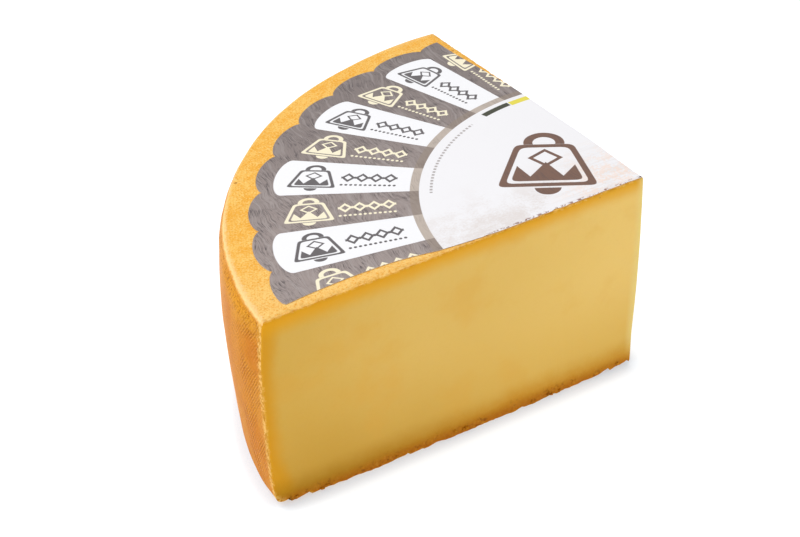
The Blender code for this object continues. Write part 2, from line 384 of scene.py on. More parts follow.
def makePasteMaterial():
    material, maker = newMaterial("paste")
    x, y, z, place = maker.wheelPlace()
    radius = maker.root(x * x + y * y)
    depth = depthBelowTop(radius, z)
    toRind = wheel["radius"] * 1000 - radius
    toCorner = maker.most(wheel["secondCut"] * 1000 - x, y - wheel["firstCut"] * 1000)

    broad = maker.noise(place, 0.03, 2.0, 0.5)
    grain = maker.noise(place, 0.9, 3.0, 0.6)
    wander = (maker.noise(place, 0.12, 3.0, 0.55) - 0.5) * 2.0
    # Painted light and shade: the cut face is painted lighter to the right and darker towards the left and
    # lower left, following how the light falls on it
    outward = radius + (broad - 0.5) * 30.0
    leftward = maker.ease(outward, 40.0, 150.0)
    low = maker.mixColour(leftward, pasteLook["lowRight"], pasteLook["lowLeft"])
    patches = maker.ease(maker.noise(place, 0.05, 3.0, 0.55), 0.5, 0.7)
    inner = maker.layers(
        pasteLook["right"],
        (maker.ease(outward, 0.0, 75.0), pasteLook["middle"]),
        (maker.ease(outward, 85.0, 155.0), pasteLook["left"]),
        (maker.ease(depth, 30.0, 78.0), low),
        (patches * 0.3, pasteLook["patch"]))

    # The paste ripens from outside in: deeper and more orange along the rind, top and above all the foot,
    # where the darkening is partly painted shade
    widening = (1.0 - maker.ease(z, 0.0, 24.0)) * 4.5 + (1.0 - maker.ease(depth, 0.0, 26.0)) * 2.5
    sideBand = 1.0 - maker.ease(toRind + wander * 1.5 - widening, 2.5, 8.5)
    topBand = 1.0 - maker.ease(depth + wander - leftward, 0.4, 8.0)
    # darker towards the foot: partly the paste's own colour, partly painted shade
    footBand = 1.0 - maker.ease(z + wander * 1.8, 2.0, 14.0)
    footLine = 1.0 - maker.ease(z + wander * 1.2, 0.8, 6.5)
    nearFoot = maker.mixColour(leftward, pasteLook["nearFootRight"], pasteLook["nearFootLeft"])
    flecks = maker.noise(place, 0.7, 2.0, 0.6)
    ragged = footLine * maker.ease(maker.noise(place, 0.07, 2.0, 0.5), 0.46, 0.6)

    # A flaky skin along the rind, a crust low on it, and painted light at the corner between the cuts, where
    # light shines through the thin paste
    fromSkin = maker.least((toRind - 1.4) * 0.7, depth)
    skinBand = 1.0 - maker.ease(fromSkin + (grain - 0.5) * 1.7, 0.2, 0.8)
    flaky = maker.mixColour(maker.ease(flecks, 0.42, 0.54), pasteLook["skinDark"], pasteLook["skin"])
    crust = (1.0 - maker.ease(toRind + z * 0.8, 4.0, 10.0)) * maker.ease(flecks, 0.46, 0.54)
    # Painted light: the corner between the cuts is painted lighter, standing in for light shining through it
    corner = (1.0 - maker.ease(toCorner, 0.8, 4.5)) * (1.0 - footBand)
    pits = maker.specks(place, 0.11, 0.045, 0.8)
    colour = maker.layers(
        inner,
        (sideBand * 0.85, pasteLook["nearRind"]),
        (topBand * 0.9, pasteLook["nearTop"]),
        (footBand * 0.9, nearFoot),
        (footLine * 0.8, pasteLook["atFoot"]),
        (maker.ease(flecks, 0.56, 0.64) * ragged * 0.6, pasteLook["footFleck"]),
        (maker.ease(1.0 - flecks, 0.56, 0.64) * ragged * 0.7, pasteLook["footNotch"]),
        (skinBand * 0.75, flaky),
        (crust * 0.8, pasteLook["crust"]),
        (corner * 0.75, pasteLook["cornerPaintedLight"]),
        (pits * 0.7, pasteLook["pit"]),
        ((1.0 - maker.ease(grain, 0.25, 0.55)) * 0.1, low))

    # Knife drag: faint upright lines, and a soft grain that roughens towards the foot
    drag = maker.noise(maker.stretch(place, (1.0, 1.0, 0.02)), 0.5, 3.0, 0.6)
    height = drag * 0.35 + grain * (0.25 + footLine) + flecks * ragged * 1.5 + broad * 0.5 - pits * 1.2
    roughness = maker.clamp(pasteLook["roughness"] + (drag - 0.5) * 0.2, 0.3, 0.8)
    maker.finish({
        "Base Color": colour, "Roughness": roughness, "IOR": 1.42, "Specular IOR Level": 0.1,
        "Subsurface Weight": 0.25, "Subsurface Radius": (0.003, 0.002, 0.0007), "Subsurface Scale": 1.0,
        "Normal": maker.bump(height, 0.00025, 0.7)})
    return material


# Fineness and small relief of the cheese, in metres
cheeseShape = {
    "fineStep": 0.00035,        # spacing of the mesh at the edges
    "coarseStep": 0.0010,       # and in the middle of a cut face
    "rindStep": 0.0032,         # and round the rind
    "growth": 1.16,
    "rindUneven": 0.0005,
    "rindWave": 0.034,
    "rindDraw": 0.0024,         # the rind draws in by this much at the first cut
    "rindDrawWidth": 0.018,
    "rimDraw": 0.0011,          # and its rim by this much, over a longer stretch
    "rimDrawWidth": 0.060,
    "rimBlend": 0.005,          # height over which one turns into the other
    "backSwell": 0.0008,        # the rim stands out by this much at the second cut
    "backSwellReach": 0.045,
    "dimple": 0.00012,          # shallow dimples of the rind
    "dimpleWave": 0.0075,
    "cutUneven": 0.00025,
    "cutWave": 0.030,
    "edgeLift": 0.0014,         # the underside curls up at the ends of the first cut
    "edgeCurl": 0.011,
    "edgeNick": 0.0003,
    "edgeNickWave": 0.0075,
    "footStep": 0.0020,         # torn steps along the lower edge of the first cut, and their length
    "footStepLength": 0.0095,
    "footStepDrift": 0.025,     # their lengths vary over stretches like this
    "footTear": 0.00045,        # fine ragged tears on them, and how far in and up these reach
    "footTearWave": 0.0026,
    "footTearDepth": 0.003,
    "footTearHeight": 0.004,
    "footSag": 0.0009,          # the paste sags out by this much at the foot of the first cut
    "footSagReach": 0.016,
    "rimTear": 0.0006,          # ragged tears where rind and cut meet
    "rimTearWave": 0.0021,
    "rimTearWidth": 0.0009,
    "rimTearBack": 0.4,         # share of it that the second cut has
    "rindSlack": 0.0015,        # the rind counts as this much further in than the full radius
    "cornerRound": 0.0007,
}


# Shares from 0 to 1 along a length: fine at both ends, coarser in between
def gradedShares(length, coarse):
    half = []
    place = 0.0
    step = cheeseShape["fineStep"]
    while place < length / 2:
        half.append(place / length)
        place += step
        step = min(coarse, step * cheeseShape["growth"])
    return half + [0.5] + [1.0 - share for share in reversed(half)]


def sideInset(z):
    if z > wheel["bulgeHeight"]:
        rise = (z - wheel["bulgeHeight"]) / (wheel["shoulderHeight"] - wheel["bulgeHeight"])
        rimHeight = wheel["centreHeight"] - wheel["topSlope"] * wheel["radius"]
        bend = max(0.0, z - wheel["shoulderHeight"]) / (rimHeight - wheel["shoulderHeight"])
        return wheel["shoulderInset"] * rise ** 2 + wheel["rimInset"] * bend ** 2
    return wheel["footInset"] * ((wheel["bulgeHeight"] - z) / wheel["bulgeHeight"]) ** 2


# Section of the rind from the top edge down to the underside, as pairs of radius and height
def rindProfile(roundSteps=4, sideSteps=112, footSteps=8):
    rimHeight = wheel["centreHeight"] - wheel["topSlope"] * (wheel["radius"] - wheel["topRound"])
    shoulder = rimHeight - wheel["topRound"]
    profile = []
    for step in range(roundSteps):
        turn = math.pi / 2 * step / roundSteps
        radius = wheel["radius"] - sideInset(shoulder) - wheel["topRound"] * (1 - math.sin(turn))
        profile.append((radius, shoulder + wheel["topRound"] * math.cos(turn)))
    for step in range(sideSteps + 1):
        z = shoulder + (wheel["footRoundHeight"] - shoulder) * step / sideSteps
        profile.append((wheel["radius"] - sideInset(z), z))
    footRadius = wheel["radius"] - sideInset(wheel["footRoundHeight"])
    for step in range(1, footSteps + 1):
        turn = math.pi / 2 * step / footSteps
        radius = footRadius - wheel["footRoundWidth"] * (1 - math.cos(turn))
        profile.append((radius, wheel["footRoundHeight"] * (1 - math.sin(turn))))
    return profile


# Distance from the corner between the cuts to a circle round the wheel's middle
def reachFrom(corner, direction, radius):
    along = corner.dot(direction)
    return -along + math.sqrt(radius ** 2 - corner.length_squared + along ** 2)


def topHeight(x, y):
    return wheel["centreHeight"] - wheel["topSlope"] * math.hypot(x, y)


def wobble(point, wave):
    return noise.noise(point / wave)


def rindOffset(point):
    toCut = point.y - wheel["firstCut"]
    rim = smoothStep(wheel["shoulderHeight"], wheel["shoulderHeight"] + cheeseShape["rimBlend"], point.z)
    draw = cheeseShape["rindDraw"] * (1.0 - smoothStep(0.0, cheeseShape["rindDrawWidth"], toCut))
    draw *= (0.2 + 0.8 * point.z / wheel["centreHeight"]) * (1.0 - rim)
    draw += cheeseShape["rimDraw"] * (1.0 - smoothStep(0.0, cheeseShape["rimDrawWidth"], toCut)) * rim
    draw -= cheeseShape["backSwell"] * smoothStep(-cheeseShape["backSwellReach"], 0.0, point.x) * rim
    offset = cheeseShape["rindUneven"] * wobble(point, cheeseShape["rindWave"]) - draw
    return offset + cheeseShape["dimple"] * wobble(point, cheeseShape["dimpleWave"])


# How far the underside lifts beside the first cut, carrying what lies just above it along
def footLift(x, y, z):
    share = (wheel["secondCut"] - x) / wheel["radius"]
    lift = cheeseShape["edgeLift"] * abs(2.0 * share - 1.0) ** 2.5
    along = Vector((x, 0.0, 0.0))
    lift += cheeseShape["edgeNick"] * abs(wobble(along, cheeseShape["edgeNickWave"]))
    steps = x / cheeseShape["footStepLength"] + 2.0 * wobble(along, cheeseShape["footStepDrift"])
    height = noise.cell(Vector((math.floor(steps), 0.0, 0.0)))
    lift += cheeseShape["footStep"] * height ** 2 * (steps - math.floor(steps)) ** 2
    across = 1.0 - smoothStep(0.0, cheeseShape["edgeCurl"], y - wheel["firstCut"])
    return lift * across * (1.0 - smoothStep(0.0, cheeseShape["edgeCurl"], z))


def cheesePoint(corner, angle, ringShare, profile, level):
    direction = Vector((math.cos(angle), math.sin(angle)))
    radius, z = profile[level]
    outer = corner + direction * reachFrom(corner, direction, radius)
    outer += outer.normalized() * rindOffset(Vector((outer.x, outer.y, z)))
    flat = corner.lerp(outer, ringShare)
    height = z
    if ringShare < 1.0:
        height = topHeight(flat.x, flat.y) * z / profile[0][1]
    height += footLift(flat.x, flat.y, height)
    return Vector((flat.x, flat.y, height))


# Tears and waves: edges recede where a cut meets rind or top, cut faces ripple, and the first one's foot sags
def wearPoint(point, onFirstCut, onSecondCut):
    fromFirst = max(0.0, point.y - wheel["firstCut"])
    fromSecond = max(0.0, wheel["secondCut"] - point.x)
    depth = max(0.0, topHeight(point.x, point.y) - point.z)
    toRind = max(0.0, wheel["radius"] - cheeseShape["rindSlack"] - math.hypot(point.x, point.y))
    width = cheeseShape["rimTearWidth"]
    worn = point.copy()
    rough = 0.35 + 0.65 * abs(wobble(point, cheeseShape["rimTearWave"])) * 2.0
    rim = 1.0 - smoothStep(0.0, width, min(fromFirst, fromSecond) + min(toRind, depth))
    tear = cheeseShape["rimTear"] * rim * rough
    if fromFirst <= fromSecond:
        worn.y += tear
    else:
        worn.x -= tear * cheeseShape["rimTearBack"]
    if toRind < width:
        worn.xy -= worn.xy.normalized() * tear * 0.6
    if depth < width:
        worn.z -= tear * 0.35
    footTear = cheeseShape["footTear"] * (1.0 - smoothStep(0.0, cheeseShape["footTearDepth"], fromFirst))
    footTear *= 1.0 - smoothStep(0.0, cheeseShape["footTearHeight"], point.z)
    worn.z += footTear * max(0.0, wobble(point, cheeseShape["footTearWave"]) + 0.15)
    worn.y += footTear * wobble(point * 1.3, cheeseShape["footTearWave"])
    sag = 1.0 - smoothStep(0.0, cheeseShape["footSagReach"], point.z + fromFirst)
    worn.y -= cheeseShape["footSag"] * sag
    nearCorner = 1.0 - smoothStep(0.0, wheel["cornerDrawReach"], max(fromFirst, fromSecond))
    middle = wheel["centreHeight"] / 2
    worn.x -= wheel["cornerDraw"] * nearCorner * ((point.z - middle) / middle) ** 2
    if onFirstCut:
        worn.y += cheeseShape["cutUneven"] * wobble(point, cheeseShape["cutWave"])
    if onSecondCut:
        worn.x += cheeseShape["cutUneven"] * wobble(point, cheeseShape["cutWave"])
    return worn


# The wedge is one closed skin: top, rind and underside sweep round the corner, the cuts close its ends
def makeCheese(rind, paste):
    corner = Vector((wheel["secondCut"], wheel["firstCut"]))
    profile = rindProfile()
    last = len(profile) - 1
    angles = [math.pi - math.pi / 2 * share
              for share in gradedShares(wheel["radius"] * math.pi / 2, cheeseShape["rindStep"])]
    shares = gradedShares(wheel["radius"], cheeseShape["coarseStep"])
    lastColumn = len(angles) - 1
    lastRing = len(shares) - 1
    points = []
    made = {}

    def vertex(column, ring, level):
        key = (column, ring, level) if ring else (0, 0, level)
        if key not in made:
            point = cheesePoint(corner, angles[column], shares[ring], profile, level)
            inside = 0 < ring < lastRing and 0 < level < last
            point = wearPoint(point, column == 0 and inside, column == lastColumn and inside)
            if ring == 0:
                soften = cheeseShape["cornerRound"] / 2
                point += Vector((-soften, soften, 0.0))
            made[key] = len(points)
            points.append(point + wheelAxis)
        return made[key]

    faces = []
    finishes = []

    def addFace(finish, *corners):
        unique = list(dict.fromkeys(vertex(*place) for place in corners))
        faces.append(unique)
        finishes.append(finish)

    for column in range(lastColumn):
        for ring in range(lastRing):
            addFace(0, (column, ring, 0), (column, ring + 1, 0),
                    (column + 1, ring + 1, 0), (column + 1, ring, 0))
            addFace(0, (column + 1, ring, last), (column + 1, ring + 1, last),
                    (column, ring + 1, last), (column, ring, last))
        for level in range(last):
            addFace(0, (column, lastRing, level), (column, lastRing, level + 1),
                    (column + 1, lastRing, level + 1), (column + 1, lastRing, level))
    for ring in range(lastRing):
        for level in range(last):
            addFace(1, (0, ring, level), (0, ring, level + 1),
                    (0, ring + 1, level + 1), (0, ring + 1, level))
            addFace(1, (lastColumn, ring, level), (lastColumn, ring + 1, level),
                    (lastColumn, ring + 1, level + 1), (lastColumn, ring, level + 1))
    mesh = bpy.data.meshes.new("cheeseBody")
    mesh.from_pydata(points, [], faces)
    mesh.materials.append(rind)
    mesh.materials.append(paste)
    mesh.polygons.foreach_set("material_index", finishes)
    mesh.flip_normals()
    mesh.shade_smooth()
    mesh.set_sharp_from_angle(angle=math.radians(50))
    cheese = bpy.data.objects.new("cheeseBody", mesh)
    showPiece(cheese)
    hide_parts("cheese")
    print("cheese:", len(mesh.polygons), "faces")
    return cheese


# The paper label, in metres and degrees
labelShape = {
    "Scallop Valley": 0.1352,   # radius where two scallops meet
    "Scallop Rise": 0.0036,
    "Front Shrink": 0.0010,     # the paper's outline draws in by this much towards the first cut
    "Front Shrink Reach": 22.0,
    "Panel Turn": 10.48,        # one scallop to each printed panel
    "First Valley": 95.4,       # direction of the valley nearest the second cut
    "Margin": 0.0004,           # between the paper and the cut edges
    "Front Strip": 0.0030,      # bare rind along the first cut, and between which distances it widens
    "Front Strip Start": 0.057,
    "Front Strip Full": 0.100,
    "Front Bow": 0.0021,        # where the front edge bows in
    "Front Bow Place": 0.112,
    "Front Bow Reach": 0.030,
    "Back Strip": 0.0030,
    "Back Strip Start": 0.080,
    "Back Strip Full": 0.138,
    "Strip Blend": 30.0,        # degrees over which the paper follows a strip
    "Tip Round": 0.0009,
    "Tip Width": 1.4,
    "Lift": 0.00012,            # underside of the paper above the rind
    "Thickness": 0.00013,
    "Nick Depth": 0.0009,       # small tears where the knife went through the paper
    "Nick Wave": 0.0021,
    "Crinkle": 0.00007,
    "Crinkle Wave": 0.011,
}
labelSteps = {"panels": 9, "stepsPerPanel": 24, "rings": 70}


# A Geometry Nodes tree with a float input for each named size
def makeShapeTree(name, sizes):
    tree = bpy.data.node_groups.new(name, "GeometryNodeTree")
    maker = NodeMaker(tree)
    for size, value in sizes.items():
        socket = tree.interface.new_socket(size, in_out="INPUT", socket_type="NodeSocketFloat")
        socket.default_value = value
    tree.interface.new_socket("Geometry", in_out="OUTPUT", socket_type="NodeSocketGeometry")
    inputs = maker.node("NodeGroupInput")
    return maker, {size: Value(maker, inputs.outputs[size]) for size in sizes}


# Runs a tree on an empty mesh and keeps the result as a plain mesh
def growMesh(name, maker, geometry, sizes):
    maker.node("NodeGroupOutput", None, {"Geometry": geometry})
    carrier = bpy.data.objects.new(name + "Carrier", bpy.data.meshes.new(name + "Carrier"))
    bpy.context.scene.collection.objects.link(carrier)
    modifier = carrier.modifiers.new(name, "NODES")
    modifier.node_group = maker.tree
    for item in maker.tree.interface.items_tree:
        if item.in_out == "INPUT":
            modifier[item.identifier] = sizes[item.name]
    depsgraph = bpy.context.evaluated_depsgraph_get()
    mesh = bpy.data.meshes.new_from_object(carrier.evaluated_get(depsgraph))
    mesh.name = name
    carrier.modifiers.remove(modifier)
    bpy.data.objects.remove(carrier)
    return mesh


def makeLabelTree(printed, edge):
    maker, size = makeShapeTree("scallopedLabel", labelShape)
    columns = labelSteps["panels"] * labelSteps["stepsPerPanel"] + 1
    grid = maker.node("GeometryNodeMeshGrid", None, {
        "Size X": 1.0, "Size Y": 1.0, "Vertices X": labelSteps["rings"] + 1, "Vertices Y": columns})
    gridX, gridY = maker.split(maker.node("GeometryNodeInputPosition").outputs[0])[:2]
    share = gridX + 0.5
    degree = math.pi / 180

    # Angles in degrees: columns crowd towards the valleys, and the first and last stop at the strips
    start = 90.0 - maker.maths("ARCSINE", (wheel["secondCut"] - size["Margin"] - size["Back Strip"])
                               / size["Scallop Valley"]) / degree
    end = 180.0 - maker.maths("ARCSINE", (wheel["firstCut"] + size["Margin"] + size["Front Strip"])
                              / size["Scallop Valley"]) / degree
    count = (gridY + 0.5) * labelSteps["panels"]
    whole = maker.floor(count)
    crowded = (1.0 - maker.cosine((count - whole) * math.pi)) / 2
    angle = size["First Valley"] + (whole + crowded - 1.0) * size["Panel Turn"]
    angle = maker.most(start, maker.least(end, angle))

    turns = (angle - size["First Valley"]) / size["Panel Turn"]
    across = (turns - maker.floor(turns)) * 2.0 - 1.0
    toTip = maker.clamp(1.0 - (end - angle) / size["Tip Width"])
    tip = size["Tip Round"] * (1.0 - maker.root(1.0 - toTip * toTip))
    shrink = size["Front Shrink"] * (1.0 - maker.ease(end - angle, 0.0, size["Front Shrink Reach"]))
    radius = (size["Scallop Valley"] - tip - shrink
              + size["Scallop Rise"] * maker.maths("POWER", maker.most(1.0 - across * across, 0.0), 0.68))
    cornerX = wheel["secondCut"] - size["Margin"]
    cornerY = wheel["firstCut"] + size["Margin"]
    x = cornerX + share * (radius * maker.cosine(angle * degree) - cornerX)
    y = cornerY + share * (radius * maker.sine(angle * degree) - cornerY)

    # The strips of bare rind along the cuts
    nearFirst = 1.0 - maker.ease(end - angle, 0.0, size["Strip Blend"])
    nearSecond = 1.0 - maker.ease(angle - start, 0.0, size["Strip Blend"])
    firstWiden = maker.ease(-x, size["Front Strip Start"], size["Front Strip Full"]) - share
    secondWiden = maker.ease(y, size["Back Strip Start"], size["Back Strip Full"]) - share
    fromBow = (-x - size["Front Bow Place"]) / size["Front Bow Reach"]
    bow = maker.most(1.0 - fromBow * fromBow, 0.0)
    frontY = y + nearFirst * (size["Front Strip"] * firstWiden + size["Front Bow"] * bow)
    backX = x - size["Back Strip"] * nearSecond * secondWiden
    fromCorner = maker.most(cornerX - x, y - cornerY)
    backX = backX - wheel["cornerDraw"] * (1.0 - maker.ease(fromCorner, 0.0, wheel["cornerDrawReach"]))

    # Nicks along the first cut
    nickNoise = maker.noise(maker.vector(x / size["Nick Wave"], 0.0), 1.0, 2.0, 0.6)
    atEdge = (1.0 - maker.ease(end - angle, 0.0, 1.6)) * (1.0 - maker.ease(-x, 0.062, 0.078))
    atEdge = atEdge * maker.ease(-x, 0.002, 0.010)
    frontY = frontY + size["Nick Depth"] * atEdge * maker.most(nickNoise - 0.5, 0.0) * 4.0
    crinkle = size["Crinkle"] * maker.noise(maker.vector(x, y) / size["Crinkle Wave"], 1.0, 2.0, 0.5)
    z = (wheel["centreHeight"] - wheel["topSlope"] * maker.root(backX * backX + frontY * frontY)
         + size["Lift"] + crinkle)
    laid = maker.node("GeometryNodeSetPosition", None, {
        "Geometry": grid.outputs[0], "Position": maker.vector(backX, frontY, z)})

    # Thickness: the sheet is pushed up, its walls take the edge finish, and the turned sheet closes it
    raised = maker.node("GeometryNodeExtrudeMesh", {"mode": "FACES"}, {
        "Mesh": laid.outputs[0], "Offset": (0.0, 0.0, 1.0), "Offset Scale": size["Thickness"],
        "Individual": False})
    top = maker.node("GeometryNodeSetMaterial", None, {
        "Geometry": raised.outputs["Mesh"], "Material": printed})
    walls = maker.node("GeometryNodeSetMaterial", None, {
        "Geometry": top.outputs[0], "Selection": raised.outputs["Side"], "Material": edge})
    turned = maker.node("GeometryNodeFlipFaces", None, {"Mesh": laid.outputs[0]})
    below = maker.node("GeometryNodeSetMaterial", None, {"Geometry": turned.outputs[0], "Material": edge})
    joined = maker.node("GeometryNodeJoinGeometry")
    for part in (below, walls):
        maker.tree.links.new(part.outputs[0], joined.inputs[0])
    merged = maker.node("GeometryNodeMergeByDistance", None, {
        "Geometry": joined.outputs[0], "Distance": 0.000001})
    real = maker.node("GeometryNodeRealizeInstances", None, {"Geometry": merged.outputs[0]})
    return maker, real.outputs[0]


def makeLabel(printed, edge):
    maker, geometry = makeLabelTree(printed, edge)
    mesh = growMesh("wheelLabel", maker, geometry, labelShape)
    mesh.transform(Matrix.Translation(wheelAxis))
    mesh.shade_smooth()
    mesh.set_sharp_from_angle(angle=math.radians(40))
    label = bpy.data.objects.new("wheelLabel", mesh)
    showPiece(label)
    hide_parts("label")
    print("label:", len(mesh.polygons), "faces")


# The print, in millimetres and degrees about the middle of the wheel
labelPrint = {
    "slate": paint(166, 153, 149),
    "slateBack": paint(137, 126, 123),
    "slateLight": paint(182, 173, 171),
    "streak": paint(84, 76, 78),
    "streakLean": 0.08,         # how far the streaks lean towards the second cut
    "tab": paint(249, 249, 252),
    "disc": paint(245, 244, 247),
    "cloud": paint(230, 223, 221),
    "stain": paint(250, 218, 196),
    "cream": paint(252, 243, 214),
    "grey": paint(104, 100, 102),
    "ringOnTab": paint(196, 183, 172),
    "ringOnSlate": paint(150, 135, 122),
    "emblem": paint(124, 94, 80),
    "dark": paint(70, 72, 58),
    "yellow": paint(233, 220, 82),
    "beadInk": paint(150, 140, 136),
    "torn": paint(128, 66, 38),
    "beads": (75.6, 76.6, 112.0, 150.0),    # the beaded arc: two radii, two directions
    "beadCount": 26,
    "panelTurn": 360.0 / 34,
    "firstTab": 101.1,          # direction of the middle of the first white tab
    "tabCorner": 128.3,         # radius where a tab's straight sides end
    "tabDrop": 1.5,             # and how much sooner they end towards the second cut
    "tabRise": 4.0,
    "ring": (80.3, 83.5),
    "darkBar": (75.7, 78.3, 96.3, 106.0),
    "yellowBar": (75.2, 78.1, 89.5, 96.0),
    "bellPlace": 118.2,         # radius of the small bells
    "bellSize": 18.5,
    "bellWidening": 1.25,
    "rowPlace": 98.3,           # radius of the middle of the diamond rows
    "rowHalf": 10.0,
    "diamondStep": 5.0,
    "dotStep": 1.7,
    "bigBell": (-22.2, 32.2),
    "bigBellUp": 58,
    "bigBellSize": 46.0,
}


# A cowbell drawn in outline, as a distance from its ink, negative inside; x and y in shares of its height
def bellDistance(maker, x, y):
    sideways = abs(x)
    halfWidth = 0.27 - y * 0.24
    body = maker.value("ShaderNodeMath", 0, {"operation": "SMOOTH_MAX"}, {
        0: (sideways - halfWidth) * 0.95, 1: abs(y + 0.03) - 0.29, 2: 0.09})
    rim = abs(body) - 0.024
    zigzag = abs((x * 4.0 - maker.floor(x * 4.0)) - 0.5)
    peaks = maker.most(maker.most(y + 0.20 - zigzag * 0.42, body + 0.055), -(y + 0.285))
    diamond = abs(sideways + abs(y - 0.075) - 0.115) - 0.022
    drawn = maker.least(maker.least(rim, peaks), maker.most(diamond, body + 0.03))
    fromHandle = maker.root(x * x + (y - 0.31) * (y - 0.31))
    handle = maker.most(abs(fromHandle - 0.125) - 0.036, 0.285 - y)
    fromClapper = maker.root(x * x + (y + 0.36) * (y + 0.36))
    clapper = maker.most(fromClapper - 0.1, y + 0.365)
    return maker.least(drawn, maker.least(handle, clapper))


# A row of diamonds with dots between them, over a line of small dots
def rowDistance(maker, x, y):
    step = labelPrint["diamondStep"]
    local = abs(x - (maker.floor(x / step) + 0.5) * step)
    diamond = abs(local * 1.15 + abs(y - 0.6) - 2.2) - 0.72
    between = maker.root((local - step / 2) * (local - step / 2) + (y - 0.6) * (y - 0.6)) - 0.7
    dotStep = labelPrint["dotStep"]
    dotX = x - (maker.floor(x / dotStep) + 0.5) * dotStep
    dot = maker.root(dotX * dotX + (y + 4.2) * (y + 4.2)) - 0.56
    drawn = maker.least(maker.least(diamond, between), dot)
    return maker.most(drawn, abs(x) - labelPrint["rowHalf"])


def makePrintMaterial():
    material, maker = newMaterial("printedPaper")
    x, y, z, place = maker.wheelPlace()
    radius = maker.root(x * x + y * y)
    degree = math.pi / 180
    turn = maker.maths("ARCTAN2", y, x) / degree

    fromTab = turn - labelPrint["firstTab"]
    panel = maker.floor(fromTab / labelPrint["panelTurn"] + 0.5)
    offset = fromTab - panel * labelPrint["panelTurn"]
    onSlate = maker.maths("FLOORED_MODULO", panel, 2.0)
    inward = radius * maker.cosine(offset * degree)
    upward = -(radius * maker.sine(offset * degree))

    # Slate ground: long dark streaks that run away from the first cut, a little wavy and broken
    fine = maker.noise(place, 1.3, 2.0, 0.6)
    swing = (maker.noise(place, 0.06, 2.0, 0.5) - 0.5) * 9.0
    streakPlace = maker.vector(x - y * labelPrint["streakLean"] + swing, y * 0.07 + swing * 0.1, 0.0)
    waves = maker.noise(streakPlace, 0.7, 2.0, 0.6)
    crests = 1.0 - maker.ease(abs(waves - 0.5), 0.0, 0.04)
    hairs = 1.0 - maker.ease(abs(maker.noise(streakPlace, 1.7, 2.0, 0.55) - 0.5), 0.0, 0.06)
    broken = maker.ease(maker.noise(place, 0.14, 3.0, 0.6), 0.38, 0.62)
    streaks = crests * (0.1 + broken * 0.45) + hairs * (0.15 + broken * 0.35) + (1.0 - fine) * 0.15
    streaks = maker.clamp(streaks)
    slate = maker.layers(
        labelPrint["slate"],
        (maker.ease(y, 20.0, 130.0), labelPrint["slateBack"]),
        (maker.ease(waves, 0.45, 0.7) * 0.4, labelPrint["slateLight"]),
        (streaks, labelPrint["streak"]))

    # White tabs, the disc and the ring between them
    share = offset / (labelPrint["panelTurn"] / 2)
    tabEnd = labelPrint["tabCorner"] - labelPrint["tabDrop"] * maker.ease(y, 60.0, 120.0)
    tabEnd = tabEnd + labelPrint["tabRise"] * maker.root(maker.most(1.0 - share * share, 0.0))
    tab = maker.within(radius - tabEnd, 0.12) * maker.within(onSlate - 0.5, 0.01)
    ringLow, ringHigh = labelPrint["ring"]
    ringOnSlate = maker.mixColour(0.6, slate, labelPrint["ringOnSlate"])
    ringOnTab = maker.mixColour(streaks * 0.3, labelPrint["ringOnTab"], labelPrint["streak"])
    clouds = maker.ease(maker.noise(place, 0.06, 5.0, 0.65) + (fine - 0.5) * 0.35, 0.4, 0.68)
    clouds = clouds * (1.0 - maker.ease(y, 8.0, 40.0)) * maker.ease(-x, -4.0, 20.0)
    folds = maker.noise(maker.vector(x * 0.05, y, 0.0), 0.22, 2.0, 0.5)
    creases = 1.0 - maker.ease(abs(folds - 0.5), 0.0, 0.05)
    creases = creases * (1.0 - maker.ease(radius, 18.0, 45.0)) * 0.5
    damp = maker.noise(place, 0.3, 3.0, 0.6)
    stains = (1.0 - maker.ease(radius, 14.0, 42.0)) * maker.ease(fine * 0.4 + damp * 0.6, 0.46, 0.58)
    disc = maker.layers(
        labelPrint["disc"],
        (maker.most(clouds, creases), labelPrint["cloud"]),
        (stains * 0.5, labelPrint["stain"]))
    colour = maker.layers(
        slate,
        (tab, labelPrint["tab"]),
        (maker.within(radius - ringHigh), maker.mixColour(tab, ringOnSlate, ringOnTab)),
        (maker.within(radius - ringLow), disc))

    # Bells and rows of diamonds in the panels, the large bell and the two bars in the disc
    bellSize = labelPrint["bellSize"]
    bellAcross = (labelPrint["bellPlace"] - inward) / (bellSize * labelPrint["bellWidening"])
    bell = bellDistance(maker, bellAcross, upward / bellSize) * bellSize
    row = rowDistance(maker, labelPrint["rowPlace"] - inward, upward)
    motif = maker.within(maker.least(bell, row))
    ink = maker.mixColour(onSlate, labelPrint["grey"], labelPrint["cream"])

    up = labelPrint["bigBellUp"] * degree
    bigSize = labelPrint["bigBellSize"]
    awayX = x - labelPrint["bigBell"][0]
    awayY = y - labelPrint["bigBell"][1]
    bellX = (awayX * math.sin(up) - awayY * math.cos(up)) / bigSize
    bellY = (awayX * math.cos(up) + awayY * math.sin(up)) / bigSize
    bigBell = maker.within(bellDistance(maker, bellX, bellY) * bigSize)
    emblem = maker.mixColour(crests * 0.35, labelPrint["emblem"], labelPrint["streak"])
    colour = maker.layers(colour, (motif * maker.within(ringHigh - radius), ink), (bigBell, emblem))
    for bar, barColour in (("darkBar", "dark"), ("yellowBar", "yellow")):
        low, high, first, last = labelPrint[bar]
        shape = maker.between(radius, low, high) * maker.between(turn, first, last, 0.08)
        colour = maker.mixColour(shape, colour, labelPrint[barColour])

    # A beaded arc inside the ring, and small torn spots along the first cut
    low, high, first, last = labelPrint["beads"]
    bead = turn * (labelPrint["beadCount"] / (last - first))
    bead = maker.within(abs(bead - maker.floor(bead) - 0.5) - 0.28, 0.08)
    beads = bead * maker.between(radius, low, high) * maker.between(turn, first, last, 0.08)
    fromCut = y - wheel["firstCut"] * 1000
    torn = maker.ease(maker.noise(place, 0.75, 2.0, 0.6), 0.5, 0.57) * (1.0 - maker.ease(fromCut, 0.9, 1.8))
    torn = torn * (1.0 - maker.ease(-x, 52.0, 74.0))
    colour = maker.layers(colour, (beads * 0.75, labelPrint["beadInk"]), (torn * 0.9, labelPrint["torn"]))

